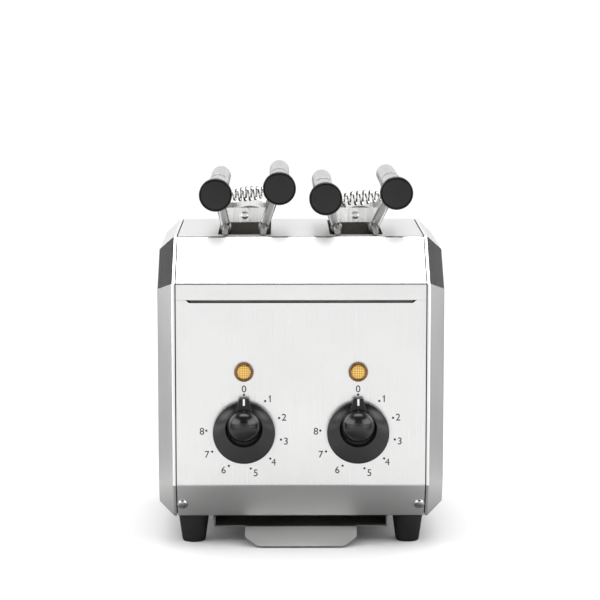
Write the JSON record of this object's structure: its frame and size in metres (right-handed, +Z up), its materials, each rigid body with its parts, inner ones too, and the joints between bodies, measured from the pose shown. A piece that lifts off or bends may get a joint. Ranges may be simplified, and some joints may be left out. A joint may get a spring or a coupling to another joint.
{
  "type": "sandwich toaster",
  "caption": "Upright steel sandwich toaster with slots, spring tongs that lift out, turning timers, pilot lamps and a slide-out crumb tray.",
  "frame": {"origin": "middle of the footprint, on the surface that the feet stand on", "axes": "+Z up, +X to the right as seen from the front, the controls face -Y"},
  "size_m": [0.228, 0.284, 0.2991],
  "materials": {
    "casing_steel": "brushed stainless sheet",
    "inner_steel": "plain sheet, dulled by heat",
    "tray_steel": "satin sheet",
    "bright_steel": "polished wire and plate",
    "handle_tube": "polished tube",
    "spring_wire": "bright spring wire",
    "heater_sheath": "oxidised tube",
    "ceramic": "matt ceramic and moulding",
    "black_plastic": "glossy black moulding",
    "grey_plastic": "matt dark moulding",
    "foot_rubber": "black rubber",
    "amber_lens": "clear amber moulding with a fine grid"
  },
  "bodies": {
    "toaster": {"top_cover": "casing_steel", "front_panel": "casing_steel", "rear_panel": "casing_steel", "left_side_panel": "casing_steel", "right_side_panel": "casing_steel", "base_plate": "inner_steel", "rubber_feet": "foot_rubber", "foot_screws": "bright_steel", "case_screws": "bright_steel", "tray_rails": "inner_steel", "front_reflector": "inner_steel", "rear_reflector": "inner_steel", "side_reflectors": "inner_steel", "divider": "inner_steel", "left_outer_heater": "heater_sheath", "left_inner_heater": "heater_sheath", "right_inner_heater": "heater_sheath", "right_outer_heater": "heater_sheath", "heater_bushes": "ceramic", "left_guards": "bright_steel", "right_guards": "bright_steel", "left_timer": "ceramic", "right_timer": "ceramic", "left_lamp_lens": "amber_lens", "right_lamp_lens": "amber_lens", "lamp_holders": "grey_plastic", "terminal_block": "ceramic", "cord_gland": "grey_plastic"},
    "crumb_tray": {"crumb_tray": "tray_steel"},
    "left_knob": {"left_timer_shaft": "bright_steel", "left_knob": "black_plastic"},
    "right_knob": {"right_timer_shaft": "bright_steel", "right_knob": "black_plastic"},
    "left_tong": {"left_tong_pin": "bright_steel", "left_tong_spring": "spring_wire"},
    "left_tong_near_half": {"left_tong_near_handle": "handle_tube", "left_tong_near_cap": "black_plastic", "left_tong_near_arms": "bright_steel", "left_tong_near_rail": "bright_steel", "left_tong_near_jaw": "bright_steel"},
    "left_tong_far_half": {"left_tong_far_handle": "handle_tube", "left_tong_far_cap": "black_plastic", "left_tong_far_arms": "bright_steel", "left_tong_far_rail": "bright_steel", "left_tong_far_jaw": "bright_steel"},
    "right_tong": {"right_tong_pin": "bright_steel", "right_tong_spring": "spring_wire"},
    "right_tong_near_half": {"right_tong_near_handle": "handle_tube", "right_tong_near_cap": "black_plastic", "right_tong_near_arms": "bright_steel", "right_tong_near_rail": "bright_steel", "right_tong_near_jaw": "bright_steel"},
    "right_tong_far_half": {"right_tong_far_handle": "handle_tube", "right_tong_far_cap": "black_plastic", "right_tong_far_arms": "bright_steel", "right_tong_far_rail": "bright_steel", "right_tong_far_jaw": "bright_steel"}
  },
  "joints": [
    {"name": "left_timer_turn", "type": "hinge", "parent": "toaster", "child": "left_knob", "pos_m": [-0.0453, -0.121, 0.0953], "axis": [0, 1, 0], "range_deg": [0, 270]},
    {"name": "right_timer_turn", "type": "hinge", "parent": "toaster", "child": "right_knob", "pos_m": [0.0453, -0.121, 0.0953], "axis": [0, 1, 0], "range_deg": [0, 270]},
    {"name": "crumb_tray_slide", "type": "slide", "parent": "toaster", "child": "crumb_tray", "axis": [0, -1, 0], "range_m": [0, 0.2]},
    {"name": "left_tong_lift", "type": "slide", "parent": "toaster", "child": "left_tong", "axis": [0, 0, 1], "range_m": [0, 0.18]},
    {"name": "left_tong_squeeze", "type": "hinge", "parent": "left_tong", "child": "left_tong_near_half", "pos_m": [-0.0455, 0, 0.2596], "axis": [0, 1, 0], "range_deg": [0, 6.5], "stiffness_Nm_per_rad": 1, "springref_deg": -11.46, "deforming": ["left_tong_spring"]},
    {"name": "left_tong_squeeze_far", "type": "hinge", "parent": "left_tong", "child": "left_tong_far_half", "pos_m": [-0.0455, 0, 0.2596], "axis": [0, 1, 0], "range_deg": [-6.5, 0]},
    {"name": "right_tong_lift", "type": "slide", "parent": "toaster", "child": "right_tong", "axis": [0, 0, 1], "range_m": [0, 0.18]},
    {"name": "right_tong_squeeze", "type": "hinge", "parent": "right_tong", "child": "right_tong_near_half", "pos_m": [0.0455, 0, 0.2596], "axis": [0, 1, 0], "range_deg": [0, 6.5], "stiffness_Nm_per_rad": 1, "springref_deg": -11.46, "deforming": ["right_tong_spring"]},
    {"name": "right_tong_squeeze_far", "type": "hinge", "parent": "right_tong", "child": "right_tong_far_half", "pos_m": [0.0455, 0, 0.2596], "axis": [0, 1, 0], "range_deg": [-6.5, 0]}
  ],
  "couplings": [
    {"joint": "left_tong_squeeze_far", "follows": "left_tong_squeeze", "ratio": -1},
    {"joint": "right_tong_squeeze_far", "follows": "right_tong_squeeze", "ratio": -1}
  ]
}
